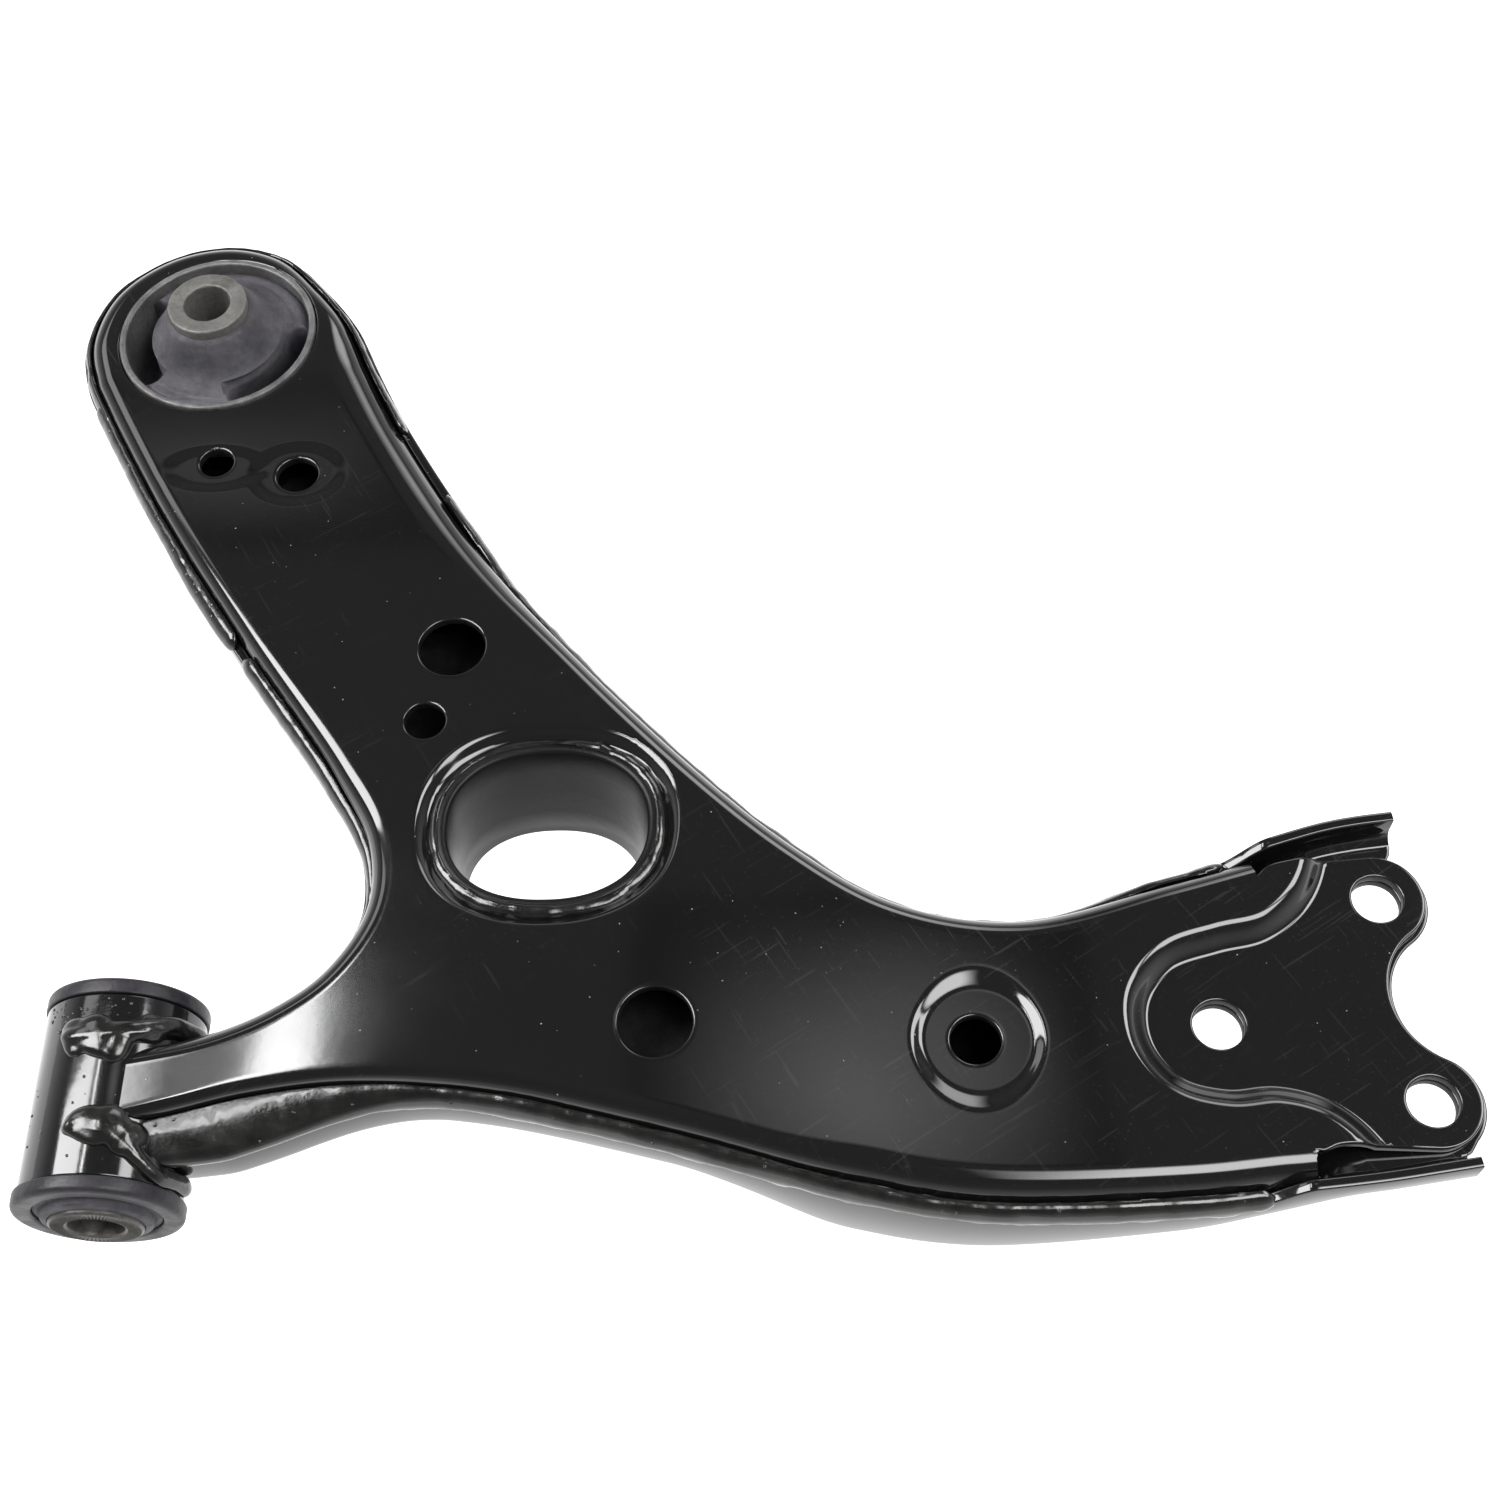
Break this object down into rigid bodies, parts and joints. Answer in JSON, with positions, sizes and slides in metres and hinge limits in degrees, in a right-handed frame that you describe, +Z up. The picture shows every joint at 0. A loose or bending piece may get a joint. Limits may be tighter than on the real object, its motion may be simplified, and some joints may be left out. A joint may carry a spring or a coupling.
{
  "type": "suspension control arm",
  "caption": "L-shaped pressed-steel lower control arm with a tubular front bush, an upright rear bush, an oval welded opening and a ball joint pad.",
  "frame": {"origin": "centre of the base of the arm's bounding box, with the arm lying as it sits on the car", "axes": "+X outboard towards the ball joint pad, +Y rearward along the swing axis through the two bushes, +Z up, square to the main plate"},
  "size_m": [0.4128, 0.3438, 0.0573],
  "materials": {
    "paint": "gloss black electrocoat",
    "weld": "gloss black paint over rippled weld beads",
    "sleeve_steel": "satin grey phosphate",
    "coated_steel": "satin dark grey coating",
    "bush_rubber": "matt, faintly mottled"
  },
  "bodies": {
    "arm": {"upper_shell": "paint", "lower_shell": "paint", "oval_collar": "paint", "front_bush_tube": "paint", "front_bush_outer_sleeve": "coated_steel", "front_bush_rear_ring": "coated_steel", "front_bush_rubber": "bush_rubber", "rear_bush_outer_sleeve": "coated_steel", "rear_bush_rubber": "bush_rubber", "front_edge_weld": "weld", "outer_edge_weld": "weld", "rear_end_weld": "weld", "inner_edge_rear_weld": "weld", "inner_edge_front_weld": "weld", "collar_weld_top": "weld", "collar_weld_bottom": "weld", "tube_front_weld": "weld", "tube_rear_weld": "weld", "tube_bottom_weld": "weld"},
    "front_sleeve": {"front_bush_inner_sleeve": "sleeve_steel"},
    "rear_sleeve": {"rear_bush_inner_sleeve": "sleeve_steel"}
  },
  "joints": [
    {"name": "front_bush_swing", "type": "hinge", "parent": "arm", "child": "front_sleeve", "pos_m": [-0.15942, -0.13344, 0.0226], "axis": [0, 1, 0], "range_deg": [-18, 18], "stiffness_Nm_per_rad": 30, "deforming": ["front_bush_rubber"]},
    {"name": "rear_bush_swing", "type": "hinge", "parent": "arm", "child": "rear_sleeve", "pos_m": [-0.15942, 0.12656, 0.0296], "axis": [0, 1, 0], "range_deg": [-15, 15], "stiffness_Nm_per_rad": 30, "deforming": ["rear_bush_rubber"]}
  ]
}
